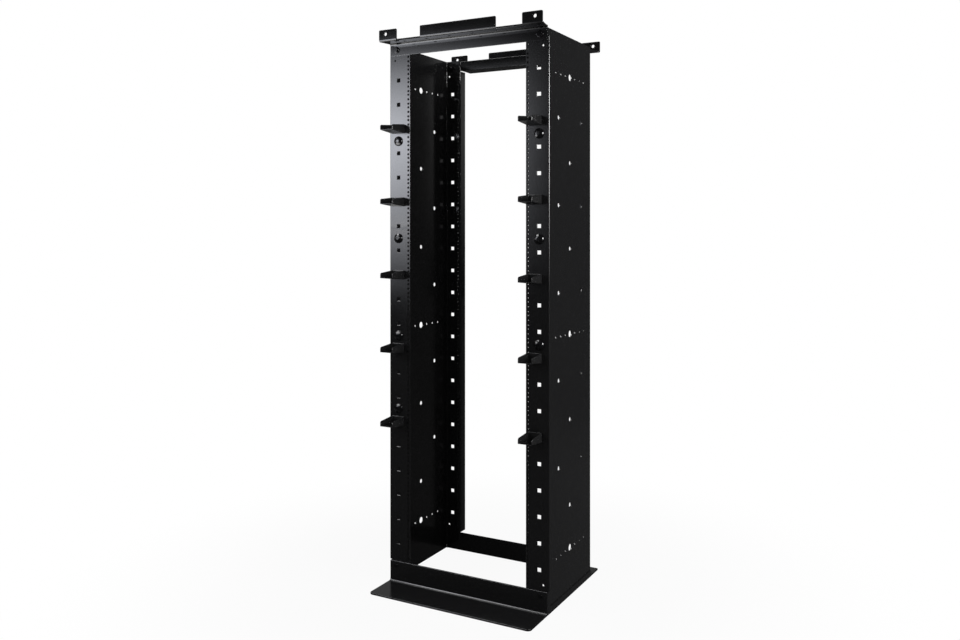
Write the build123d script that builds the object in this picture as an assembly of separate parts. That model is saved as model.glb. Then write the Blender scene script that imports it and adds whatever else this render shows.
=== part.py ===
from build123d import *
import os

# Four post open frame rack for 19 inch equipment, in millimetres.
# Origin on the floor under the middle of the rack's outline, +Z up, front towards -Y.

# Overall sizes of the two folded side channels
channel_span = 604.0
channel_depth = 381.0
channel_top = 1905.0
channel_bottom = 14.0
flange_width = 76.2
rear_flange_width = 63.5
sheet = 3.0
bend_radius = 6.5

# Folded hem that stands out from each web along the front edge
hem_width = 8.0
hem_nose_radius = 2.9
hem_below_top = 28.0

# Return lip on the inner edge of each rear flange
lip_depth = 36.0
lip_gap = 2.0

# Base angles, which carry the channels and stand on the floor
plate = 6.0
plate_bend = 6.0
base_leg_height = 76.2
rear_base_leg_height = 68.0
front_foot_depth = 130.0
rear_foot_depth = 60.0
front_toe_radius = 14.0
rear_toe_radius = 5.0

# Base side rails, outside the webs
rail_sheet = 3.0
rail_height = 22.0
rail_post_width = 16.0
rail_corner_radius = 8.0

# Top angles with up-turned tabs
top_leg_height = 42.0
rear_top_leg_height = 30.0
rear_top_drop = 9.0
top_shelf_depth = 57.0
shelf_overhang = 12.0
tab_height = 41.0
tab_width = 72.0
tab_corner_radius = 4.0
tab_hole_diameter = 12.0
tab_hole_from_end = 26.6
tab_hole_from_top = 15.5
crook_radius = 5.4
name_plate_width = 291.0
shelf_hole_diameter = 11.0
shelf_hole_pitch = 90.0
shelf_hole_count = 6
rear_return_depth = 70.0
rear_return_clearance = 2.0

# Rack unit holes in the front flanges
unit_height = 44.45
unit_first_hole = 6.35
unit_hole_span = 31.75
unit_hole_from_edge = 6.75
unit_hole_diameter = 5.6

# Square accessory holes in all four flanges
square_size = 12.7
square_count = 20
square_from_edge = 28.5
first_square_below_top = 128.4
last_square_height = 142.6

# Round holes in the flanges, near the top and the base
end_hole_diameter = 7.0
end_hole_from_edge = 14.0
end_hole_below_top = 58.0
end_hole_height = 95.0

# Round holes in the webs
web_row_count = 12
web_first_below_top = 137.0
web_last_height = 162.0
web_hole_diameter = 14.0
web_large_diameter = 22.0
web_small_diameter = 7.0
web_pair_spacing = 192.0
web_small_pitch = 40.0
web_cross_rows = (0, 6, 11)

# Cable fingers on the front flanges
finger_width = 51.0
finger_depth = 76.0
finger_back_height = 32.0
finger_front_height = 18.0
finger_sheet = 2.0
finger_nose_radius = 7.0
finger_chin_radius = 1.5
finger_bend_radius = 2.5
finger_squares = (2, 5, 8, 11, 14)
left_finger_from_web = 27.0
right_finger_from_web = 44.0

# Large round-head bolts between the squares of the front flanges
knob_diameter = 34.0
knob_rim = 3.0
knob_height = 10.0
knob_shoulder_radius = 10.5
knob_shoulder_height = 8.2
knob_socket = 10.0
knob_socket_depth = 5.0
knob_shank = 10.0
knob_shank_length = 16.0
bolt_clearance = 0.6
left_knobs = (2.5, 6.5, 10.5, 13.5)
right_knobs = (2.5, 6.5, 10.5)

# Hexagon bolts that join the top angles to the channels
joint_bolt_from_end = 23.0
joint_head_across = 19.0
joint_head_height = 7.0
joint_washer_diameter = 24.0
joint_washer = 2.0
joint_shank = 10.0
joint_shank_length = 18.0

# Values that follow from the sizes above
half_span = channel_span / 2
half_depth = channel_depth / 2
inner_edge = half_span - flange_width
rear_inner_edge = half_span - rear_flange_width
angle_reach = half_span + rail_sheet
rear_leg_reach = half_span - bend_radius
square_x = half_span - square_from_edge
square_pitch = (channel_top - first_square_below_top - last_square_height) / (square_count - 1)
web_pitch = (channel_top - web_first_below_top - web_last_height) / (web_row_count - 1)
frame_top = channel_top + plate
unit_count = int((channel_top - top_leg_height - base_leg_height) // unit_height)
mounted_units = (0, unit_count // 2 - 1, unit_count - 1)
first_unit_z = channel_top - top_leg_height - unit_count * unit_height
unit_hole_x = inner_edge + unit_hole_from_edge
joint_bolt_z = channel_top - top_leg_height / 2
rear_return_z = channel_top - rear_top_drop - rear_top_leg_height
rear_bolt_z = rear_return_z + (rear_top_leg_height - crook_radius) / 2
through = 4 * plate
near = 0.01

# The posts are drawn about y = 0, then moved so that the outline is centred
front_reach = half_depth + plate + max(front_foot_depth, top_shelf_depth)
rear_reach = half_depth + max(plate + rear_foot_depth, plate + top_shelf_depth, plate / 2 + rear_return_depth)
centring = (front_reach - rear_reach) / 2


def square_z(index):
    return channel_top - first_square_below_top - square_pitch * index


def web_row_z(index):
    return channel_top - web_first_below_top - web_pitch * index


def hole_along_y(diameter, x, y, z):
    return Pos(x, y, z) * Rot(90, 0, 0) * Cylinder(diameter / 2, through)


def hole_along_x(diameter, x, y, z):
    return Pos(x, y, z) * Rot(0, 90, 0) * Cylinder(diameter / 2, through)


def corner(sketch, across, along):
    # Corners of a section at one place, in the section's own two directions.
    return [c for c in sketch.vertices() if abs(c.X - across) < near and abs(c.Y - along) < near]


def channel_section(with_lip):
    # Section of the right channel: web on +X, flanges turned inwards.
    inside = half_depth - sheet
    with BuildSketch() as section:
        with Locations((half_span - sheet / 2, 0)):
            Rectangle(sheet, channel_depth)
        with Locations((half_span - flange_width / 2, -half_depth + sheet / 2)):
            Rectangle(flange_width, sheet)
        with Locations((half_span - rear_flange_width / 2, half_depth - sheet / 2)):
            Rectangle(rear_flange_width, sheet)
        for end in (-1, 1):
            fillet(corner(section, half_span, end * half_depth), bend_radius)
            fillet(corner(section, half_span - sheet, end * inside), bend_radius - sheet)
        if with_lip:
            with Locations((rear_inner_edge + sheet / 2, inside + (sheet + lip_depth) / 2)):
                Rectangle(sheet, sheet + lip_depth)
            fillet(corner(section, rear_inner_edge, inside), bend_radius)
            fillet(corner(section, rear_inner_edge + sheet, half_depth), bend_radius - sheet)
    return section.sketch


def front_hem():
    # Doubled edge of the front flange, outside the web, with a rounded nose.
    bottom = base_leg_height + lip_gap
    root = half_span - bend_radius
    with BuildSketch() as section:
        with Locations(((root + half_span + hem_width) / 2, -half_depth + sheet)):
            Rectangle(bend_radius + hem_width, 2 * sheet)
        for y in (-half_depth, -half_depth + 2 * sheet):
            fillet(corner(section, half_span + hem_width, y), hem_nose_radius)
    return Pos(0, 0, bottom) * extrude(section.sketch, channel_top - hem_below_top - bottom)


def side_channel():
    lip_bottom = rear_base_leg_height + lip_gap
    lip_top = rear_return_z - lip_gap
    plain = channel_section(False)
    lipped = channel_section(True)
    body = Pos(0, 0, channel_bottom) * extrude(plain, lip_bottom - channel_bottom)
    body += Pos(0, 0, lip_bottom) * extrude(lipped, lip_top - lip_bottom)
    body += Pos(0, 0, lip_top) * extrude(plain, channel_top - lip_top)
    body += front_hem()
    cuts = []
    for index in range(square_count):
        for y in (-half_depth, half_depth):
            cuts.append(Pos(square_x, y, square_z(index)) * Box(square_size, through, square_size))
    for unit in mounted_units:
        z = first_unit_z + unit * unit_height + unit_first_hole
        for hole_z in (z, z + unit_hole_span):
            cuts.append(hole_along_y(unit_hole_diameter, unit_hole_x, -half_depth, hole_z))
    for index in range(web_row_count):
        z = web_row_z(index)
        if index in web_cross_rows:
            cuts.append(hole_along_x(web_large_diameter, half_span, 0, z))
            for step in (-3, -2, -1, 1, 2, 3):
                cuts.append(hole_along_x(web_small_diameter, half_span, step * web_small_pitch, z))
        elif index % 2:
            for y in (-web_pair_spacing / 2, web_pair_spacing / 2):
                cuts.append(hole_along_x(web_hole_diameter, half_span, y, z))
        else:
            cuts.append(hole_along_x(web_hole_diameter, half_span, 0, z))
    joint_x = half_span - joint_bolt_from_end
    end_x = half_span - end_hole_from_edge
    for y, bolt_z in ((-half_depth, joint_bolt_z), (half_depth, rear_bolt_z)):
        cuts.append(hole_along_y(joint_shank + bolt_clearance, joint_x, y, bolt_z))
        for z in (channel_top - end_hole_below_top, end_hole_height):
            cuts.append(hole_along_y(end_hole_diameter, end_x, y, z))
    return body - cuts


def with_knob_holes(channel, side, places):
    cuts = []
    for place in places:
        x = side * square_x
        cuts.append(hole_along_y(knob_shank + bolt_clearance, x, -half_depth, square_z(place)))
    return channel - cuts


def base_angle(foot_depth, leg_height, leg_reach, toe_radius):
    # Angle with its upright leg against the front flanges and its foot forward.
    with BuildSketch(Plane.YZ) as section:
        with Locations((-half_depth - plate / 2, leg_height / 2)):
            Rectangle(plate, leg_height)
        with Locations((-half_depth - plate - foot_depth / 2 + plate / 2, plate / 2)):
            Rectangle(foot_depth + plate, plate)
        fillet(corner(section, -half_depth - plate, plate), plate_bend)
    angle = extrude(section.sketch, angle_reach, both=True)
    toes = [e for e in angle.edges().filter_by(Axis.Z)
            if abs(e.center().Y + half_depth + plate + foot_depth) < near]
    angle = fillet(toes, toe_radius)
    end = angle_reach - leg_reach
    if end > near:
        trim = Box(2 * end, 2 * (plate + plate_bend), leg_height)
        for side in (-1, 1):
            angle -= Pos(side * angle_reach, -half_depth - plate, plate + leg_height / 2) * trim
    return angle


def base_side_rail():
    # Flat plate outside the right web, with an upright end behind the front leg.
    with BuildSketch(Plane.YZ) as outline:
        with Locations((0, rail_height / 2)):
            Rectangle(channel_depth, rail_height)
        with Locations((-half_depth + rail_post_width / 2, base_leg_height / 2)):
            Rectangle(rail_post_width, base_leg_height)
        fillet(corner(outline, -half_depth + rail_post_width, rail_height), rail_corner_radius)
    return Pos(half_span, 0, 0) * extrude(outline.sketch, rail_sheet)


def tab(width, centre_x):
    # Up-turned end of the top shelf, with its bend and two rounded corners.
    front = -half_depth - plate - top_shelf_depth
    reach = plate + plate_bend
    with BuildSketch(Plane.YZ) as section:
        with Locations((front + plate / 2, channel_top + tab_height / 2)):
            Rectangle(plate, tab_height)
        with Locations((front + reach / 2, channel_top + plate / 2)):
            Rectangle(reach, plate)
        fillet(corner(section, front, channel_top), plate_bend)
    body = Pos(centre_x, 0, 0) * extrude(section.sketch, width / 2, both=True)
    corners = [e for e in body.edges().filter_by(Axis.Y)
               if abs(e.center().Z - channel_top - tab_height) < near]
    return fillet(corners, tab_corner_radius)


def top_angle(leg_height, leg_reach, bolt_z):
    # Angle with its upright leg against the front flanges and its shelf forward.
    tab_reach = half_span + shelf_overhang
    shelf_front = -half_depth - plate - top_shelf_depth + plate_bend
    shelf_back = -half_depth - plate - plate_bend
    with BuildSketch(Plane.YZ) as section:
        with Locations((-half_depth - plate / 2, frame_top - (leg_height + plate) / 2)):
            Rectangle(plate, leg_height + plate)
        with Locations(((-half_depth + shelf_back) / 2, channel_top + plate / 2)):
            Rectangle(-half_depth - shelf_back, plate)
        fillet(corner(section, -half_depth - plate, channel_top), crook_radius)
    angle = extrude(section.sketch, leg_reach, both=True)
    with BuildSketch() as shelf:
        with BuildLine():
            Polyline((-tab_reach, shelf_front), (tab_reach, shelf_front), (leg_reach, shelf_back),
                     (-leg_reach, shelf_back), close=True)
        make_face()
    angle += Pos(0, 0, channel_top) * extrude(shelf.sketch, plate)
    for side in (-1, 1):
        angle += tab(tab_width, side * (tab_reach - tab_width / 2))
    angle += tab(name_plate_width, 0)
    cuts = []
    hole_z = channel_top + tab_height - tab_hole_from_top
    tab_y = -half_depth - plate - top_shelf_depth + plate / 2
    for side in (-1, 1):
        cuts.append(hole_along_y(tab_hole_diameter, side * (tab_reach - tab_hole_from_end), tab_y, hole_z))
        joint_x = side * (half_span - joint_bolt_from_end)
        cuts.append(hole_along_y(joint_shank + bolt_clearance, joint_x, -half_depth, bolt_z))
    shelf_y = -half_depth - plate - top_shelf_depth / 2
    for step in range(shelf_hole_count):
        x = (step - (shelf_hole_count - 1) / 2) * shelf_hole_pitch
        cuts.append(Pos(x, shelf_y, channel_top) * Cylinder(shelf_hole_diameter / 2, through))
    return angle - cuts


def rear_return():
    # Lower lip of the rear top angle, between the rear flanges.
    width = 2 * (rear_inner_edge - rear_return_clearance)
    lip = Box(width, rear_return_depth, plate)
    y = half_depth + plate / 2 + rear_return_depth / 2
    return Pos(0, y, rear_return_z + plate / 2) * lip


def finger_side(floor_lift, head):
    # Side view of a finger: tapers forward from its back plate, evenly above and below.
    back = finger_back_height / 2
    front = finger_front_height / 2
    with BuildSketch(Plane.YZ) as outline:
        with BuildLine():
            Polyline((0, floor_lift - back), (0, back + head), (-finger_depth, front + head),
                     (-finger_depth, floor_lift - front), close=True)
        make_face()
        if not head:
            fillet(corner(outline, -finger_depth, front), finger_nose_radius)
            fillet(corner(outline, -finger_depth, floor_lift - front), finger_chin_radius)
    return outline.sketch


def cable_finger():
    # Open trough with its back plate on the plane y = 0 and its floor forward.
    block = extrude(finger_side(0, 0), finger_width / 2, both=True)
    bends = [e for e in block.edges() if abs(e.center().X) > near and e.center().Z < 0
             and abs(e.center().Y + finger_depth / 2) < finger_chin_radius]
    block = fillet(bends, finger_bend_radius)
    inside = finger_side(finger_sheet, finger_back_height)
    hollow = extrude(inside, finger_width / 2 - finger_sheet, both=True)
    return block - Pos(0, -finger_sheet, 0) * hollow


def knob():
    # Round-head bolt along Y, its bearing face on the plane y = 0.
    radius = knob_diameter / 2
    shoulder = (knob_shoulder_radius, -knob_shoulder_height)
    with BuildSketch(Plane.XY) as profile:
        with BuildLine():
            Line((0, knob_shank_length), (knob_shank / 2, knob_shank_length))
            Line((knob_shank / 2, knob_shank_length), (knob_shank / 2, 0))
            Line((knob_shank / 2, 0), (radius, 0))
            Line((radius, 0), (radius, -knob_rim))
            ThreePointArc((radius, -knob_rim), shoulder, (0, -knob_height))
            Line((0, -knob_height), (0, knob_shank_length))
        make_face()
    body = revolve(profile.sketch, Axis.Y)
    key = Plane.XZ * RegularPolygon(knob_socket / 2, 6, major_radius=False)
    socket = extrude(key, knob_height)
    return body - Pos(0, -knob_height + knob_socket_depth, 0) * socket


def joint_bolt():
    # Hexagon bolt with washer along Y, the washer's face on the plane y = 0.
    head = extrude(Plane.XZ * RegularPolygon(joint_head_across / 2, 6, major_radius=False), joint_head_height)
    body = Pos(0, -joint_washer, 0) * head
    body += Pos(0, -joint_washer / 2, 0) * Rot(90, 0, 0) * Cylinder(joint_washer_diameter / 2, joint_washer)
    shank = Cylinder(joint_shank / 2, joint_shank_length)
    return body + Pos(0, joint_shank_length / 2, 0) * Rot(90, 0, 0) * shank


def front_to_rear(shape):
    return shape.mirror(Plane.XZ)


def right_to_left(shape):
    return shape.mirror(Plane.YZ)


os.makedirs("parts", exist_ok=True)
nodes = {}

channel = side_channel()
nodes["right_side_channel"] = with_knob_holes(channel, 1, right_knobs)
nodes["left_side_channel"] = with_knob_holes(right_to_left(channel), -1, left_knobs)

front_base = base_angle(front_foot_depth, base_leg_height, angle_reach, front_toe_radius)
rear_base = base_angle(rear_foot_depth, rear_base_leg_height, rear_leg_reach, rear_toe_radius)
nodes["front_base_angle"] = front_base
nodes["rear_base_angle"] = front_to_rear(rear_base)

rail = base_side_rail()
nodes["right_base_rail"] = rail
nodes["left_base_rail"] = right_to_left(rail)

rear_top = top_angle(rear_top_leg_height, rear_leg_reach, rear_bolt_z + rear_top_drop)
nodes["front_top_angle"] = top_angle(top_leg_height, angle_reach, joint_bolt_z)
nodes["rear_top_angle"] = Pos(0, 0, -rear_top_drop) * front_to_rear(rear_top) + rear_return()

finger = cable_finger()
left_finger_x = left_finger_from_web - half_span
right_finger_x = half_span - right_finger_from_web
for number, index in enumerate(finger_squares, 1):
    nodes[f"left_cable_finger_{number}"] = Pos(left_finger_x, -half_depth, square_z(index)) * finger
    nodes[f"right_cable_finger_{number}"] = Pos(right_finger_x, -half_depth, square_z(index)) * finger

button = knob()
for number, place in enumerate(left_knobs, 1):
    nodes[f"left_flange_bolt_{number}"] = Pos(-square_x, -half_depth, square_z(place)) * button
for number, place in enumerate(right_knobs, 1):
    nodes[f"right_flange_bolt_{number}"] = Pos(square_x, -half_depth, square_z(place)) * button

bolt = joint_bolt()
bolt_x = half_span - joint_bolt_from_end
for name, side in (("left", -1), ("right", 1)):
    nodes[f"front_{name}_top_bolt"] = Pos(side * bolt_x, -half_depth - plate, joint_bolt_z) * bolt
    rear_bolt = Pos(side * bolt_x, -half_depth - plate, rear_bolt_z) * bolt
    nodes[f"rear_{name}_top_bolt"] = front_to_rear(rear_bolt)

for name, shape in nodes.items():
    export_step(Pos(0, centring, 0) * shape, f"parts/{name}.step")
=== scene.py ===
import math

import bmesh
import bpy
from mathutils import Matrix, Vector


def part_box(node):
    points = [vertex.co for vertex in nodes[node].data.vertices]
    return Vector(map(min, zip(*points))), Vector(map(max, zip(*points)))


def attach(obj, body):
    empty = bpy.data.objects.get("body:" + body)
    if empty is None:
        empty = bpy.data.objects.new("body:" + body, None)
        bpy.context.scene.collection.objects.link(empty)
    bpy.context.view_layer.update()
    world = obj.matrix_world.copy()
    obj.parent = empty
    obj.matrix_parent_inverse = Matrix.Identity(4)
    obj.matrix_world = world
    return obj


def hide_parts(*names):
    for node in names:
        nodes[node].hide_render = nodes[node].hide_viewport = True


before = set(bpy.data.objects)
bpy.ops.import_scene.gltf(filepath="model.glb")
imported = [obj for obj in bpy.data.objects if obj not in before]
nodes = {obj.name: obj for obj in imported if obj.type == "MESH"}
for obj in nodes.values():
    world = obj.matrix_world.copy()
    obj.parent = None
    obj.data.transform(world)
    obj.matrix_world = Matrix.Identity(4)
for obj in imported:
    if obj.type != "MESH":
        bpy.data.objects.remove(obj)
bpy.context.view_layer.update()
scene = bpy.context.scene
scene.view_settings.view_transform = "Standard"
print("frame:", len(nodes), "nodes")

quarterTurn, eighthTurn = math.radians(90), math.radians(45)
sides = ("left", "right")


# camera at the photo's angle: level, with the picture shifted down
view = {
    "place": (1.5043, -2.8210, 1.2531),
    "turn": 28.57,            # degrees left of straight ahead
    "focalPixels": 900.3,
    "pictureWidth": 960,
    "pictureHeight": 640,
    "horizonRow": 228.33,     # picture row at the height of the lens
    "sensor": 36.0,
}


def placeCamera():
    lens = bpy.data.cameras.new("rackCamera")
    lens.sensor_width = view["sensor"]
    lens.lens = view["focalPixels"] / view["pictureWidth"] * view["sensor"]
    lens.shift_y = (view["horizonRow"] - view["pictureHeight"] / 2) / view["pictureWidth"]
    camera = bpy.data.objects.new("rackCamera", lens)
    camera.location = view["place"]
    camera.rotation_euler = (quarterTurn, 0, math.radians(view["turn"]))
    scene.collection.objects.link(camera)
    scene.camera = camera


placeCamera()


# small helpers for node trees
def addNode(tree, kind, inputs=None, **settings):
    made = tree.nodes.new(kind)
    for name, value in settings.items():
        setattr(made, name, value)
    for name, value in (inputs or {}).items():
        socket = made.inputs[name]
        if isinstance(value, bpy.types.NodeSocket):
            tree.links.new(value, socket)
        else:
            socket.default_value = value
    return made


def calculated(tree, operation, *values):
    return addNode(tree, "ShaderNodeMath", dict(enumerate(values)), operation=operation).outputs[0]


def ramped(tree, value, span, low=0.0, high=1.0, kind="LINEAR"):
    # goes from low to high while the value crosses the span
    return addNode(tree, "ShaderNodeMapRange", {
        "Value": value, "From Min": span[0], "From Max": span[1], "To Min": low, "To Max": high},
        interpolation_type=kind).outputs["Result"]


def newMaterial(name):
    coat = bpy.data.materials.new(name)
    coat.use_nodes = True
    coat.node_tree.nodes.clear()
    return coat, coat.node_tree


def endMaterial(tree, shader):
    addNode(tree, "ShaderNodeOutputMaterial", {"Surface": shader.outputs[0]})


def ownPlace(tree):
    return addNode(tree, "ShaderNodeTexCoord").outputs["Object"]


# black coats: fine orange peel, faint mottling, uneven gloss
coatLooks = {
    "powder": {"dark": (0.007, 0.007, 0.0075, 1), "light": (0.013, 0.013, 0.0135, 1),
               "gloss": (0.14, 0.19), "peelSize": 700, "peelDepth": 0.00006, "specular": 0.5},
    "top": {"dark": (0.007, 0.007, 0.0075, 1), "light": (0.013, 0.013, 0.0135, 1),
            "gloss": (0.07, 0.11), "peelSize": 700, "peelDepth": 0.00006, "specular": 0.5},
    "finger": {"dark": (0.012, 0.012, 0.0125, 1), "light": (0.019, 0.019, 0.0195, 1),
               "gloss": (0.20, 0.27), "peelSize": 1100, "peelDepth": 0.00006, "specular": 0.28},
    "bolt": {"dark": (0.003, 0.003, 0.0035, 1), "light": (0.007, 0.007, 0.0075, 1),
             "gloss": (0.10, 0.18), "peelSize": 1500, "peelDepth": 0.00002, "specular": 0.36},
    # painted shade: matte near-black for the rings at the unit holes' mouths, which widen the holes' dark
    # dots
    "thread": {"dark": (0.002, 0.002, 0.002, 1), "light": (0.005, 0.005, 0.005, 1),
               "gloss": (0.55, 0.70), "peelSize": 2500, "peelDepth": 0.00002, "specular": 0.04},
}
coatNoise = {
    "cloudSize": 7.0, "cloudDetail": 4.0, "cloudSpan": (0.3, 0.7),
    "grainShare": 0.45, "grainDetail": 2.0,     # the grain's size is a share of the peel's
    "peelDetail": 1.0, "peelStrength": 0.35,
}
# the mix node's colour sockets share their names with others, so they go by number
mixDark, mixLight, mixResult = 6, 7, 2


def blackCoat(name, look):
    coat, tree = newMaterial(name)
    place = ownPlace(tree)
    noises = []
    for size, detail in ((coatNoise["cloudSize"], coatNoise["cloudDetail"]),
                         (look["peelSize"] * coatNoise["grainShare"], coatNoise["grainDetail"]),
                         (look["peelSize"], coatNoise["peelDetail"])):
        made = addNode(tree, "ShaderNodeTexNoise", {"Vector": place, "Scale": size, "Detail": detail})
        noises.append(made.outputs["Fac"])
    cloud, grain, peel = noises
    tone = addNode(tree, "ShaderNodeMix", {"Factor": grain}, data_type="RGBA")
    tone.inputs[mixDark].default_value = look["dark"]
    tone.inputs[mixLight].default_value = look["light"]
    bump = addNode(tree, "ShaderNodeBump", {
        "Height": peel, "Strength": coatNoise["peelStrength"], "Distance": look["peelDepth"]})
    endMaterial(tree, addNode(tree, "ShaderNodeBsdfPrincipled", {
        "Base Color": tone.outputs[mixResult],
        "Roughness": ramped(tree, cloud, coatNoise["cloudSpan"], *look["gloss"]),
        "Specular IOR Level": look["specular"], "Normal": bump.outputs["Normal"]}))
    return coat


powderCoat = blackCoat("blackPowderCoat", coatLooks["powder"])
topCoat = blackCoat("smoothPowderCoat", coatLooks["top"])
fingerCoat = blackCoat("blackFingerCoat", coatLooks["finger"])
boltCoat = blackCoat("blackBoltFinish", coatLooks["bolt"])
# painted shade for the rings around the unit holes
holeShadeCoat = blackCoat("oiledThread", coatLooks["thread"])
print("coats done")


# small helpers for meshes
sharpAngle = 35     # degrees between two faces from which their edge stays sharp


def newPiece(name, mesh):
    piece = bpy.data.objects.new(name, mesh)
    scene.collection.objects.link(piece)
    return piece


def meshFrom(shape, name):
    mesh = bpy.data.meshes.new(name)
    shape.to_mesh(mesh)
    shape.free()
    return mesh


def plainMesh(piece):
    # the modifiers' result becomes the piece's own mesh
    graph = bpy.context.evaluated_depsgraph_get()
    made = bpy.data.meshes.new_from_object(piece.evaluated_get(graph), depsgraph=graph)
    made.name = piece.name
    piece.modifiers.clear()
    piece.data = made


def smoothShading(piece, limit=sharpAngle):
    # bends shade smoothly, edges stay sharp, wide faces keep their own normal
    shape = bmesh.new()
    shape.from_mesh(piece.data)
    for face in shape.faces:
        face.smooth = True
    for edge in shape.edges:
        edge.smooth = edge.is_manifold and edge.calc_face_angle(0) < math.radians(limit)
    shape.to_mesh(piece.data)
    shape.free()
    weigh = piece.modifiers.new("wide faces", "WEIGHTED_NORMAL")
    weigh.keep_sharp = True
    plainMesh(piece)


def addToRack(piece, slot, *replaced):
    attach(piece, "root")
    if replaced:
        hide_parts(*replaced)


def roundedOutline(corners):
    # each corner is x, y, radius and the number of steps of its arc
    points = []
    for index, (x, y, radius, steps) in enumerate(corners):
        here = Vector((x, y))
        if not radius:
            points.append(here)
            continue
        before = (Vector(corners[index - 1][:2]) - here).normalized()
        after = (Vector(corners[(index + 1) % len(corners)][:2]) - here).normalized()
        half = before.angle(after) / 2
        centre = here + (before + after).normalized() * (radius / math.sin(half))
        start = (here + before * (radius / math.tan(half)) - centre).normalized()
        end = (here + after * (radius / math.tan(half)) - centre).normalized()
        for step in range(steps + 1):
            points.append(centre + start.slerp(end, step / steps) * radius)
    return points


def addWall(shape, below, above):
    # faces between two rings of points
    for index in range(len(below)):
        after = (index + 1) % len(below)
        shape.faces.new((below[index], below[after], above[after], above[index]))


def uprightSolid(name, outline, low, high):
    shape = bmesh.new()
    bottom = [shape.verts.new((point.x, point.y, low)) for point in outline]
    top = [shape.verts.new((point.x, point.y, high)) for point in outline]
    shape.faces.new(bottom)
    shape.faces.new(top)
    addWall(shape, bottom, top)
    bmesh.ops.recalc_face_normals(shape, faces=shape.faces)
    return meshFrom(shape, name)


# node trees that add a row of one shape to a piece, or cut it out; their sizes are inputs
rowInputs = (("Before", "Geometry"), ("Start", "Vector"), ("Step", "Vector"), ("Count", "Int"),
             ("Turn", "Vector"), ("Coat", "Material"))


def startTree(name, *sizes):
    tree = bpy.data.node_groups.new(name, "GeometryNodeTree")
    for label, kind in rowInputs + sizes:
        tree.interface.new_socket(label, in_out="INPUT", socket_type="NodeSocket" + kind)
    tree.interface.new_socket("After", in_out="OUTPUT", socket_type="NodeSocketGeometry")
    return tree, addNode(tree, "NodeGroupInput").outputs


def cylinder(tree, vertices, radius, depth):
    return addNode(tree, "GeometryNodeMeshCylinder", {
        "Vertices": vertices, "Radius": radius, "Depth": depth}).outputs["Mesh"]


def raised(tree, shape, height):
    up = addNode(tree, "ShaderNodeCombineXYZ", {"Z": height})
    return addNode(tree, "GeometryNodeTransform", {
        "Geometry": shape, "Translation": up.outputs["Vector"]}).outputs["Geometry"]


def cutAway(tree, shape, tool):
    return addNode(tree, "GeometryNodeMeshBoolean", {"Mesh 1": shape, "Mesh 2": tool},
                   operation="DIFFERENCE", solver="MANIFOLD").outputs["Mesh"]


def joinedShapes(tree, *shapes):
    joined = addNode(tree, "GeometryNodeJoinGeometry")
    for shape in shapes:
        tree.links.new(shape, joined.inputs["Geometry"])
    return joined.outputs["Geometry"]


def realized(tree, shape):
    return addNode(tree, "GeometryNodeRealizeInstances", {"Geometry": shape}).outputs["Geometry"]


def rowOf(tree, given, shape):
    line = addNode(tree, "GeometryNodeMeshLine", {
        "Count": given["Count"], "Start Location": given["Start"], "Offset": given["Step"]})
    turn = addNode(tree, "FunctionNodeEulerToRotation", {"Euler": given["Turn"]})
    placed = addNode(tree, "GeometryNodeInstanceOnPoints", {
        "Points": line.outputs["Mesh"], "Instance": shape, "Rotation": turn.outputs["Rotation"]})
    return realized(tree, placed.outputs["Instances"])


def coated(tree, given, shape):
    return addNode(tree, "GeometryNodeSetMaterial", {
        "Geometry": shape, "Material": given["Coat"]}).outputs["Geometry"]


def endTree(tree, shape):
    addNode(tree, "NodeGroupOutput", {"After": shape})
    return tree


def punchTree():
    # a punch starts at the row and goes down; its flare widens the upper end
    tree, given = startTree("punchedRow", ("Radius", "Float"), ("Flare", "Float"), ("Sides", "Int"),
                            ("Depth", "Float"))
    cone = addNode(tree, "GeometryNodeMeshCone", {
        "Vertices": given["Sides"], "Radius Bottom": given["Radius"],
        "Radius Top": calculated(tree, "ADD", given["Radius"], given["Flare"]), "Depth": given["Depth"]})
    punch = raised(tree, cone.outputs["Mesh"], calculated(tree, "MULTIPLY", given["Depth"], -0.5))
    cut = cutAway(tree, given["Before"], rowOf(tree, given, punch))
    return endTree(tree, coated(tree, given, realized(tree, cut)))


def collarTree():
    tree, given = startTree("collarRow", ("Radius", "Float"), ("Bore", "Float"), ("Sides", "Int"),
                            ("Depth", "Float"))
    barrel = cylinder(tree, given["Sides"], given["Radius"], given["Depth"])
    deeper = calculated(tree, "MULTIPLY", given["Depth"], 2.0)
    ring = cutAway(tree, barrel, cylinder(tree, given["Sides"], given["Bore"], deeper))
    row = coated(tree, given, rowOf(tree, given, ring))
    return endTree(tree, joinedShapes(tree, given["Before"], row))


def fastenerTree():
    # a nut or a screw head on its washer
    tree, given = startTree("fastenerRow", ("Radius", "Float"), ("Sides", "Int"), ("Height", "Float"),
                            ("Washer Radius", "Float"), ("Washer Sides", "Int"), ("Washer Height", "Float"))
    discs = []
    for part, base in (("", given["Washer Height"]), ("Washer ", 0.0)):
        height = given[part + "Height"]
        disc = cylinder(tree, given[part + "Sides"], given[part + "Radius"], height)
        discs.append(raised(tree, disc, calculated(tree, "MULTIPLY_ADD", height, 0.5, base)))
    row = coated(tree, given, rowOf(tree, given, joinedShapes(tree, *discs)))
    return endTree(tree, joinedShapes(tree, given["Before"], row))


def addRow(piece, label, tree, values):
    row = piece.modifiers.new(label, "NODES")
    row.node_group = tree
    for item in tree.interface.items_tree:
        if item.in_out == "INPUT" and item.name in values:
            row[item.identifier] = values[item.name]


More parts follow.
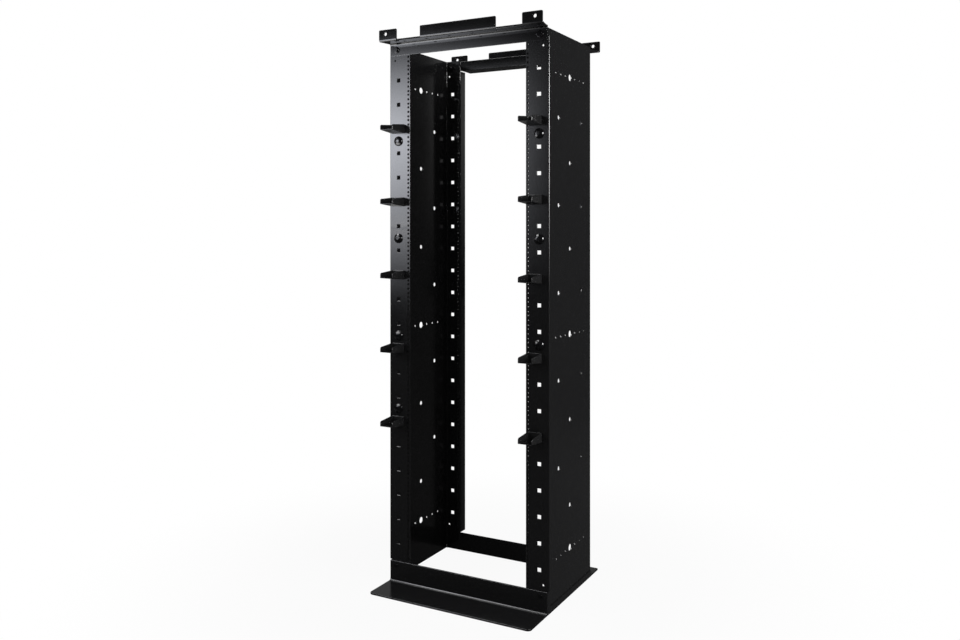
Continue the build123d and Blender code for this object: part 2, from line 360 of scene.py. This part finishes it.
# folded side channels with their rows of holes
channel = {
    "sheet": 0.003, "bend": 0.0065, "bendSteps": 10, "edge": 0.0006, "edgeSteps": 3, "rearFlange": 0.0635,
    "lip": 0.036, "lipFromTop": 0.041, "lipFromFloor": 0.0700, "notchWidth": 0.2, "notchSlack": 0.01,
    "hem": 0.008, "hemNose": 0.0029, "hemNoseSteps": 8, "hemFromTop": 0.028, "hemFromFloor": 0.0782,
    "unitHeight": 0.04445, "units": 40, "unitHoles": (0.00635, 0.022225, 0.0381), "unitTop": 0.042,
    "unitFromEdge": 0.00675, "rearUnitFromEdge": 0.0089, "unitHole": 0.0058, "unitSides": 12,
    "square": 0.0127, "squareSides": 4, "squares": 20, "squarePitch": 0.086, "squareFromWeb": 0.0285,
    "squareFromTop": 0.1284,
    "endHole": 0.007, "endSides": 16, "endFromWeb": 0.014, "endFromTop": 0.058, "endFromFloor": 0.095,
    "webPitch": 0.146, "webFromTop": 0.137, "webHole": 0.014, "webSides": 24,
    "webPair": 0.192, "webPairs": 5, "webMiddleRows": (2, 8), "webMiddles": 2,
    "webCrossRows": (0, 6, 11), "webLarge": 0.022,
    "webSmall": 0.007, "webSmallSides": 16, "webSmallPitch": 0.040, "webSmalls": 3,
    "jointHole": 0.0106, "jointSides": 20, "jointFromWeb": 0.023, "jointFromTop": 0.021,
    "rearJointFromTop": 0.0267,
    # first, step and count of the round-head bolts; the first two in pitches of the squares
    "knobRows": {"left": ((2.5, 4.0, 3), (13.5, 0.0, 1)), "right": ((2.5, 4.0, 3),)},
    "punchDepth": 0.024, "rolledEdge": 0.0010, "rollSlack": 0.0004,
}
# by the way a punch's upper end points: its turn, the way into the sheet, and the opposite
punchWays = {
    "front": {"turn": (quarterTurn, eighthTurn, 0), "inward": (0, 1, 0), "back": "rear"},
    "rear": {"turn": (-quarterTurn, eighthTurn, 0), "inward": (0, -1, 0), "back": "front"},
    "right": {"turn": (0, quarterTurn, 0), "inward": (-1, 0, 0), "back": "left"},
    "left": {"turn": (0, -quarterTurn, 0), "inward": (1, 0, 0), "back": "right"},
}
noStep = (0, 0, 0)


def channelPlaces(side):
    # faces, edges and hole lines of one channel, from its box in the frame
    low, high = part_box(side + "_side_channel")
    across = 1 if side == "right" else -1
    inner, outer = (low.x, high.x) if side == "right" else (high.x, low.x)
    web = outer - across * channel["hem"]
    rearInner = web - across * channel["rearFlange"]
    top = high.z
    return {
        "across": across, "inner": inner, "web": web, "rearInner": rearInner,
        "front": low.y, "rear": high.y - channel["lip"], "bottom": low.z, "top": top,
        "unitX": inner + across * channel["unitFromEdge"],
        "rearUnitX": rearInner + across * channel["rearUnitFromEdge"],
        "firstUnit": top - channel["unitTop"] - channel["units"] * channel["unitHeight"],
        "squareX": web - across * channel["squareFromWeb"], "squareTop": top - channel["squareFromTop"],
        "jointX": web - across * channel["jointFromWeb"],
        "jointZ": top - channel["jointFromTop"], "rearJointZ": top - channel["rearJointFromTop"],
    }


def channelOutline(at):
    # one bent sheet: front flange, web, rear flange with its return lip
    inner, web, rearInner, front, rear = (at[key] for key in ("inner", "web", "rearInner", "front", "rear"))
    sheet = channel["sheet"]
    edge = (channel["edge"], channel["edgeSteps"])
    wide = (channel["bend"], channel["bendSteps"])
    tight = (channel["bend"] - sheet, channel["bendSteps"])
    thick = at["across"] * sheet
    reach = rear + channel["lip"]
    return roundedOutline([
        (inner, front, *edge), (web, front, *wide), (web, rear, *wide),
        (rearInner + thick, rear, *tight), (rearInner + thick, reach, *edge),
        (rearInner, reach, *edge), (rearInner, rear - sheet, *wide),
        (web - thick, rear - sheet, *tight), (web - thick, front + sheet, *tight),
        (inner, front + sheet, *edge)])


def hemOutline(at):
    # doubled front edge that stands out from the web, with a rounded nose
    nose, corner = (channel["hemNose"], channel["hemNoseSteps"]), (0, 0)
    root = at["web"] - at["across"] * channel["bend"]
    tip = at["web"] + at["across"] * channel["hem"]
    front, back = at["front"], at["front"] + 2 * channel["sheet"]
    return roundedOutline([(root, front, *corner), (tip, front, *nose), (tip, back, *nose),
                           (root, back, *corner)])


def punchRow(start, step, count, width, vertices, way):
    return {"Start": start, "Step": step, "Count": count, "Radius": width / 2, "Flare": 0.0,
            "Sides": vertices, "Depth": channel["punchDepth"], "Turn": punchWays[way]["turn"],
            "Coat": powderCoat}


def rolledRows(start, step, count, width, vertices, way):
    # a punched row, and its edges rolled in at the outer and the inner face of the sheet
    rows = [punchRow(start, step, count, width, vertices, way)]
    inward, back = Vector(punchWays[way]["inward"]), punchWays[way]["back"]
    half = channel["rolledEdge"] + channel["rollSlack"]
    widening = 1 / math.cos(math.pi / vertices)
    for depth, facing in ((0, way), (channel["sheet"], back)):
        row = punchRow(tuple(Vector(start) + inward * depth), step, count, width, vertices, facing)
        row["Radius"] -= channel["rollSlack"] * widening
        row["Flare"] = 2 * half * widening
        row["Depth"] = 2 * half
        rows.append(row)
    return rows


def flangeRows(at, way, unitX, jointZ):
    y = at[way]
    rows = []
    for hole in channel["unitHoles"]:
        rows.append(punchRow((unitX, y, at["firstUnit"] + hole), (0, 0, channel["unitHeight"]),
                             channel["units"], channel["unitHole"], channel["unitSides"], way))
    rows += rolledRows((at["squareX"], y, at["squareTop"]), (0, 0, -channel["squarePitch"]),
                       channel["squares"], channel["square"] * math.sqrt(2), channel["squareSides"], way)
    low, high = channel["endFromFloor"], at["top"] - channel["endFromTop"]
    rows.append(punchRow((at["web"] - at["across"] * channel["endFromWeb"], y, low), (0, 0, high - low), 2,
                         channel["endHole"], channel["endSides"], way))
    rows.append(punchRow((at["jointX"], y, jointZ), noStep, 1, channel["jointHole"], channel["jointSides"],
                         way))
    return rows


def webRows(at, side):
    web, middle = at["web"], (at["front"] + at["rear"]) / 2
    top, pitch = at["top"] - channel["webFromTop"], channel["webPitch"]
    everySecond = (0, 0, -2 * pitch)
    usual = (channel["webHole"], channel["webSides"], side)
    rows = []
    for index in channel["webCrossRows"]:
        z = top - index * pitch
        rows += rolledRows((web, middle, z), noStep, 1, channel["webLarge"], channel["webSides"], side)
        for end in (-1, 1):
            step = end * channel["webSmallPitch"]
            rows += rolledRows((web, middle + step, z), (0, step, 0), channel["webSmalls"],
                               channel["webSmall"], channel["webSmallSides"], side)
    for end in (-1, 1):
        y = middle + end * channel["webPair"] / 2
        rows += rolledRows((web, y, top - pitch), everySecond, channel["webPairs"], *usual)
    for first in channel["webMiddleRows"]:
        rows += rolledRows((web, middle, top - first * pitch), everySecond, channel["webMiddles"], *usual)
    return rows


def holeRows(at, side):
    rows = flangeRows(at, "front", at["unitX"], at["jointZ"])
    rows += flangeRows(at, "rear", at["rearUnitX"], at["rearJointZ"])
    pitch = channel["squarePitch"]
    for first, step, count in channel["knobRows"][side]:
        rows.append(punchRow((at["squareX"], at["front"], at["squareTop"] - first * pitch),
                             (0, 0, -step * pitch), count, channel["jointHole"], channel["jointSides"],
                             "front"))
    return rows + webRows(at, side)


def lipNotches(at):
    # the return lip stops short of the base and top angles
    slack, width = channel["notchSlack"], channel["notchWidth"]
    reach = channel["lip"] + slack
    middle = (at["rearInner"] + at["web"]) / 2
    shape = bmesh.new()
    for low, high in ((at["bottom"] - slack, channel["lipFromFloor"]),
                      (at["top"] - channel["lipFromTop"], at["top"] + slack)):
        box = bmesh.ops.create_cube(shape, size=1)
        for corner in box["verts"]:
            corner.co = (middle + corner.co.x * width, at["rear"] + reach / 2 + corner.co.y * reach,
                         (low + high) / 2 + corner.co.z * (high - low))
    return newPiece("lipNotches", meshFrom(shape, "lipNotches"))


def addBoolean(piece, label, other, operation):
    change = piece.modifiers.new(label, "BOOLEAN")
    change.object = other
    change.operation = operation
    change.solver = "MANIFOLD"


def sideChannel(side, tree):
    at = channelPlaces(side)
    name = side + "Channel"
    piece = newPiece(name, uprightSolid(name, channelOutline(at), at["bottom"], at["top"]))
    hem = newPiece("hem", uprightSolid("hem", hemOutline(at), channel["hemFromFloor"],
                                       at["top"] - channel["hemFromTop"]))
    notches = lipNotches(at)
    addBoolean(piece, "hem join", hem, "UNION")
    addBoolean(piece, "lip ends", notches, "DIFFERENCE")
    for row in holeRows(at, side):
        addRow(piece, "punch", tree, row)
    plainMesh(piece)
    bpy.data.objects.remove(hem)
    bpy.data.objects.remove(notches)
    smoothShading(piece)
    addToRack(piece, "powder_coat", side + "_side_channel")
    print(piece.name, len(piece.data.polygons), "faces")


# rolled collars that give the unit holes threads, and at each mouth a thin matte near-black ring: painted
# shade that widens the holes' dark dots
collar = {"width": 0.0092, "bore": 0.0059, "depth": 0.0066, "overlap": 0.0004, "sides": 14,
          "mouth": 0.0084, "mouthDepth": 0.0003}


def unitCollars(side, tree):
    at = channelPlaces(side)
    behind = channel["sheet"] + collar["depth"] / 2 - collar["overlap"]
    threaded = (collar["width"], collar["depth"], powderCoat)
    # the mouth rings are painted shade around each unit hole
    mouth = (collar["mouth"], collar["mouthDepth"], holeShadeCoat)
    piece = newPiece(side + "Collars", bpy.data.meshes.new(side + "Collars"))
    for x, y, (width, depth, coat) in ((at["unitX"], at["front"] + behind, threaded),
                                       (at["rearUnitX"], at["rear"] - behind, threaded),
                                       (at["unitX"], at["front"], mouth),
                                       (at["rearUnitX"], at["rear"], mouth)):
        for hole in channel["unitHoles"]:
            addRow(piece, "collars", tree, {
                "Start": (x, y, at["firstUnit"] + hole), "Step": (0, 0, channel["unitHeight"]),
                "Count": channel["units"], "Radius": width / 2, "Bore": collar["bore"] / 2,
                "Sides": collar["sides"], "Depth": depth, "Turn": (quarterTurn, 0, 0), "Coat": coat})
    plainMesh(piece)
    smoothShading(piece)
    addToRack(piece, "powder_coat")
    print(piece.name, len(piece.data.polygons), "faces")


punchedRow = punchTree()
collarRow = collarTree()
for side in sides:
    sideChannel(side, punchedRow)
    unitCollars(side, collarRow)


# plates and folded pieces: the frame's own shapes, with softened edges
softEdges = {
    "base": {"width": 0.0016, "steps": 4},
    "top": {"width": 0.0011, "steps": 3},
    "rail": {"width": 0.0008, "steps": 2},
    "finger": {"width": 0.0013, "steps": 3},
    "bolt": {"width": 0.0012, "steps": 3},
}
softFrom = 40           # degrees between two faces from which their edge is softened
sameSpot = 1e-6         # points closer than this, in metres, become one
flatWithin = 0.3        # degrees: faces this close to flat become one
fingersPerSide = 5


def softenEdges(piece, edge, clamp):
    soften = piece.modifiers.new("soft edges", "BEVEL")
    soften.width = edge["width"]
    soften.segments = edge["steps"]
    soften.limit_method = "ANGLE"
    soften.angle_limit = math.radians(softFrom)
    soften.use_clamp_overlap = clamp
    plainMesh(piece)
    smoothShading(piece)


def softenedCopy(name, node, edge, coat):
    shape = bmesh.new()
    shape.from_mesh(nodes[node].data)
    bmesh.ops.remove_doubles(shape, verts=shape.verts, dist=sameSpot)
    bmesh.ops.dissolve_limit(shape, angle_limit=math.radians(flatWithin), verts=shape.verts,
                             edges=shape.edges)
    mesh = meshFrom(shape, name)
    for stale in [a for a in mesh.attributes if a.name == "custom_normal"]:
        mesh.attributes.remove(stale)
    mesh.materials.clear()
    mesh.materials.append(coat)
    piece = newPiece(name, mesh)
    softenEdges(piece, softEdges[edge], clamp=False)
    return piece


for name, node, edge, coat in (
        ("frontBase", "front_base_angle", "base", powderCoat),
        ("rearBase", "rear_base_angle", "base", powderCoat),
        ("leftRail", "left_base_rail", "rail", powderCoat),
        ("rightRail", "right_base_rail", "rail", powderCoat),
        ("frontTop", "front_top_angle", "top", topCoat),
        ("rearTop", "rear_top_angle", "top", topCoat)):
    addToRack(softenedCopy(name, node, edge, coat), "powder_coat", node)
for side in sides:
    for number in range(1, fingersPerSide + 1):
        node = f"{side}_cable_finger_{number}"
        addToRack(softenedCopy(f"{side}Finger{number}", node, "finger", fingerCoat), "finger_black", node)
for node in [n for n in nodes if n.endswith("_bolt") or "_flange_bolt_" in n]:
    first, *others = node.split("_")
    name = first + "".join(word.capitalize() for word in others)
    addToRack(softenedCopy(name, node, "bolt", boltCoat), "bolt_black", node)
print("softened copies done")


# nuts behind the bolts, floors in the bolts' sockets, screws through the base legs
fasteners = {
    "nut": {"width": 0.0185, "sides": 6, "height": 0.0065, "washer": 0.022, "washerHeight": 0.0015},
    "screw": {"width": 0.0105, "sides": 24, "height": 0.0030, "washer": 0.0145, "washerHeight": 0.0010},
    "socketFloor": {"width": 0.0112, "sides": 6, "height": 0.0030, "washer": 0.0090, "washerHeight": 0.0004},
    "socketFromFlange": 0.0050, "washerSides": 28,
    "plate": 0.006, "screwX": 0.280, "frontScrewZ": 0.060, "rearScrewZ": 0.048,
}


def fastenerRows(side):
    # kind, start, step, count and the way the head points: 1 to the rear, -1 to the front
    at = channelPlaces(side)
    front, rear, sheet, pitch = at["front"], at["rear"], channel["sheet"], channel["squarePitch"]
    rows = []
    for first, step, count in channel["knobRows"][side]:
        z = at["squareTop"] - first * pitch
        down = (0, 0, -step * pitch)
        rows.append(("nut", (at["squareX"], front + sheet, z), down, count, 1))
        rows.append(("socketFloor", (at["squareX"], front - fasteners["socketFromFlange"], z),
                     down, count, -1))
    screwX, plate = at["across"] * fasteners["screwX"], fasteners["plate"]
    return rows + [
        ("nut", (at["jointX"], front + sheet, at["jointZ"]), noStep, 1, 1),
        ("nut", (at["jointX"], rear - sheet, at["rearJointZ"]), noStep, 1, -1),
        ("screw", (screwX, front - plate, fasteners["frontScrewZ"]), noStep, 1, -1),
        ("screw", (screwX, rear + plate, fasteners["rearScrewZ"]), noStep, 1, 1)]


def addFasteners(tree):
    piece = newPiece("nutsAndScrews", bpy.data.meshes.new("nutsAndScrews"))
    for kind, start, step, count, way in fastenerRows("left") + fastenerRows("right"):
        size = fasteners[kind]
        addRow(piece, kind, tree, {
            "Start": start, "Step": step, "Count": count, "Radius": size["width"] / 2, "Sides": size["sides"],
            "Height": size["height"], "Washer Radius": size["washer"] / 2,
            "Washer Sides": fasteners["washerSides"], "Washer Height": size["washerHeight"],
            "Turn": (-quarterTurn * way, 0, 0), "Coat": boltCoat})
    softenEdges(piece, softEdges["bolt"], clamp=True)
    addToRack(piece, "bolt_black")
    print(piece.name, len(piece.data.polygons), "faces")


addFasteners(fastenerTree())


# weld beads where the rails meet the rear base angle, under the channels' rear bends
weld = {
    "x": 0.2988, "y": 0.2253, "radius": 0.0046, "height": 0.0165, "rings": 14, "sides": 14,
    "ripple": 0.00035, "rippleTurn": 2.4,       # radians from ring to ring
    "capPower": 8, "capLeast": 0.05, "sharpAngle": 60,
}


def weldBeads():
    turns = [2 * math.pi * step / weld["sides"] for step in range(weld["sides"])]
    shape = bmesh.new()
    for across in (-1, 1):
        x, y = across * weld["x"], weld["y"]
        rings = []
        for ring in range(weld["rings"] + 1):
            share = ring / weld["rings"]
            cap = math.sqrt(max(weld["capLeast"], 1 - share ** weld["capPower"]))
            radius = (weld["radius"] + weld["ripple"] * math.sin(ring * weld["rippleTurn"])) * cap
            z = share * weld["height"]
            rings.append([shape.verts.new((x + radius * math.cos(turn), y + radius * math.sin(turn), z))
                          for turn in turns])
        for below, above in zip(rings, rings[1:]):
            addWall(shape, below, above)
        shape.faces.new(rings[0])
        shape.faces.new(rings[-1])
    bmesh.ops.recalc_face_normals(shape, faces=shape.faces)
    mesh = meshFrom(shape, "weldBeads")
    mesh.materials.append(powderCoat)
    piece = newPiece("weldBeads", mesh)
    smoothShading(piece, weld["sharpAngle"])
    addToRack(piece, "powder_coat")


weldBeads()
print("fasteners and welds done")


# white studio: floor with a soft shadow, lamps, and cards that the gloss mirrors
studio = {
    "ambient": 0.36, "floorSize": 30.0, "floorDrop": 0.0005, "floorTone": 0.55,
    "shadowShare": 0.06, "shadowSpan": (0.5, 1.6),
    "flagRadius": 9.0, "flagSteps": 3, "flagTone": 0.03, "backWay": (-0.72, 0.69, 0.0), "backPower": 3.0,
    "lowTone": 0.5, "lowSpan": (-0.12, -0.2), "highTone": 0.3, "highSpan": (0.12, 0.36),
}
lamps = {
    "keyLamp": {"place": (-2.4, -2.8, 2.2), "aim": (0, 0, 1.2), "width": 1.8, "height": 1.8, "glow": 3.0},
    "sideLamp": {"place": (3.2, -0.2, 2.2), "aim": (0.3, 0, 1.0), "width": 1.4, "height": 1.8, "glow": 10.5},
}
plainWhite = (1.0, 1.0, 1.0)
# left, right, bottom and top: where the glow starts at that edge and where it is full, in metres
# from the card's middle
cards = {
    # front flanges
    "keyCard": {"place": (-0.9, -1.2, 1.5), "turn": 0, "tip": 0, "width": 1.8, "height": 1.6,
                "glow": 12.4, "tint": (0.90, 0.925, 1.0), "left": (-0.9, -0.5), "right": (0.82, -0.15),
                "bottom": (-0.66, 0.33), "top": (0.675, 0.255)},
    # right channel's front edge
    "sideCard": {"place": (3.0, -0.7, 1.95), "turn": 78, "tip": 0, "width": 2.6, "height": 2.1,
                 "glow": 45.0, "tint": plainWhite, "left": (-1.3, -1.0), "right": (1.3, 0.9),
                 "bottom": (-1.05, 0.2), "top": (0.42, 0.34)},
    # underside of the front shelf and the bend below it
    "levelCard": {"place": (-0.5, -0.57, view["place"][2]), "turn": 0, "tip": 90,
                  "width": 1.1, "height": 0.64,
                  "glow": 8.5, "tint": plainWhite, "left": (-0.55, -0.45), "right": (0.5, 0.1),
                  "bottom": (-0.32, -0.2), "top": (0.32, 0.15)},
    # left channel's return lip
    "lipCard": {"place": (-0.03, 0.62, 1.70), "turn": 0, "tip": 0, "width": 0.10, "height": 1.5,
                "glow": 0.38, "tint": plainWhite, "left": (-0.05, -0.03), "right": (0.05, 0.035),
                "bottom": (-0.75, 0.15), "top": (0.75, 0.5)},
    # feet and other level faces
    "topCard": {"place": (-1.5, -1.0, 3.3), "turn": 0, "tip": 90, "width": 2.2, "height": 2.4,
                "glow": 10.0, "tint": plainWhite, "left": (-1.1, -0.7), "right": (1.1, 0.7),
                "bottom": (-1.2, -0.8), "top": (1.2, 0.8)},
}
cardRamps = (("X", "left", "SMOOTHSTEP"), ("X", "right", "SMOOTHSTEP"),
             ("Z", "bottom", "SMOOTHSTEP"), ("Z", "top", "LINEAR"))


def emission(tree, tint, strength):
    return addNode(tree, "ShaderNodeEmission", {"Color": tint + (1,), "Strength": strength})


def flatPiece(name, corners, coat):
    mesh = bpy.data.meshes.new(name)
    mesh.from_pydata(corners, [], [(0, 1, 2, 3)])
    mesh.materials.append(coat)
    return newPiece(name, mesh)


def whiteWorld():
    world = bpy.data.worlds.new("whiteStudio")
    scene.world = world
    world.use_nodes = True
    tree = world.node_tree
    tree.nodes.clear()
    ray = addNode(tree, "ShaderNodeLightPath").outputs
    seen = calculated(tree, "MAXIMUM", ray["Is Camera Ray"], ray["Is Glossy Ray"])
    seen = calculated(tree, "MAXIMUM", seen, ray["Is Transmission Ray"])
    glow = addNode(tree, "ShaderNodeBackground", {
        "Color": plainWhite + (1,), "Strength": ramped(tree, seen, (0.0, 1.0), studio["ambient"], 1.0)})
    addNode(tree, "ShaderNodeOutputWorld", {"Surface": glow.outputs["Background"]})


def whiteFloor():
    # white to the camera but for a faint shadow near the rack; a mid tone to the light
    coat, tree = newMaterial("whiteFloor")
    ray = addNode(tree, "ShaderNodeLightPath").outputs
    reach = addNode(tree, "ShaderNodeVectorMath", {0: ownPlace(tree)}, operation="LENGTH").outputs["Value"]
    shade = ramped(tree, reach, studio["shadowSpan"], studio["shadowShare"], 0.0, "SMOOTHSTEP")
    white = calculated(tree, "SUBTRACT", 1.0, shade)
    white = calculated(tree, "MULTIPLY", white, ray["Is Camera Ray"])
    tone = (studio["floorTone"],) * 3 + (1,)
    paper = addNode(tree, "ShaderNodeBsdfDiffuse", {"Color": tone})
    glow = emission(tree, plainWhite, 1.0)
    endMaterial(tree, addNode(tree, "ShaderNodeMixShader", {
        0: white, 1: paper.outputs[0], 2: glow.outputs[0]}))
    half = studio["floorSize"] / 2
    floor = flatPiece("floor", [(-half, -half, 0), (half, -half, 0), (half, half, 0), (-half, half, 0)], coat)
    floor.location.z = -studio["floorDrop"]
    floor.visible_glossy = False


def mirroredOnly(piece):
    # only reflections see this piece
    piece.visible_camera = False
    piece.visible_diffuse = False
    piece.visible_transmission = False
    piece.visible_shadow = False


def blackFlags():
    # dark surround, paler low and high behind the rack, so the coat stays black as in the photo
    coat, tree = newMaterial("blackFlags")
    way = addNode(tree, "ShaderNodeVectorMath", {0: ownPlace(tree)}, operation="NORMALIZE").outputs["Vector"]
    facing = addNode(tree, "ShaderNodeVectorMath", {0: way, 1: studio["backWay"]}, operation="DOT_PRODUCT")
    behind = calculated(tree, "MAXIMUM", facing.outputs["Value"], 0.0)
    behind = calculated(tree, "POWER", behind, studio["backPower"])
    height = addNode(tree, "ShaderNodeSeparateXYZ", {"Vector": way}).outputs["Z"]
    low, high = (ramped(tree, height, studio[part + "Span"], 0.0, studio[part + "Tone"], "SMOOTHSTEP")
                 for part in ("low", "high"))
    level = calculated(tree, "ADD", low, high)
    level = calculated(tree, "MULTIPLY", level, behind)
    level = calculated(tree, "ADD", level, studio["flagTone"])
    endMaterial(tree, emission(tree, plainWhite, level))
    shape = bmesh.new()
    bmesh.ops.create_icosphere(shape, subdivisions=studio["flagSteps"], radius=studio["flagRadius"])
    mesh = meshFrom(shape, "flags")
    mesh.materials.append(coat)
    mirroredOnly(newPiece("flags", mesh))


def softCard(name, card):
    # card whose glow fades out towards each edge; it stands upright before it is tipped
    coat, tree = newMaterial(name)
    axes = addNode(tree, "ShaderNodeSeparateXYZ", {"Vector": ownPlace(tree)}).outputs
    level = card["glow"]
    for axis, edge, kind in cardRamps:
        level = calculated(tree, "MULTIPLY", ramped(tree, axes[axis], card[edge], kind=kind), level)
    endMaterial(tree, emission(tree, card["tint"], level))
    x, z = card["width"] / 2, card["height"] / 2
    piece = flatPiece(name, [(-x, 0, -z), (x, 0, -z), (x, 0, z), (-x, 0, z)], coat)
    piece.location = card["place"]
    piece.rotation_euler = (math.radians(card["tip"]), 0, math.radians(card["turn"]))
    mirroredOnly(piece)


def softLamp(name, lamp):
    # lights the coat's own colour; the cards give the reflections
    data = bpy.data.lights.new(name, "AREA")
    data.shape = "RECTANGLE"
    data.size = lamp["width"]
    data.size_y = lamp["height"]
    data.energy = lamp["glow"] * math.pi * lamp["width"] * lamp["height"]
    light = bpy.data.objects.new(name, data)
    light.location = lamp["place"]
    aim = Vector(lamp["aim"]) - Vector(lamp["place"])
    light.rotation_euler = aim.to_track_quat("-Z", "Y").to_euler()
    light.visible_camera = False
    light.visible_glossy = False
    scene.collection.objects.link(light)


whiteWorld()
whiteFloor()
blackFlags()
for name, card in cards.items():
    softCard(name, card)
for name, lamp in lamps.items():
    softLamp(name, lamp)
print("studio done")
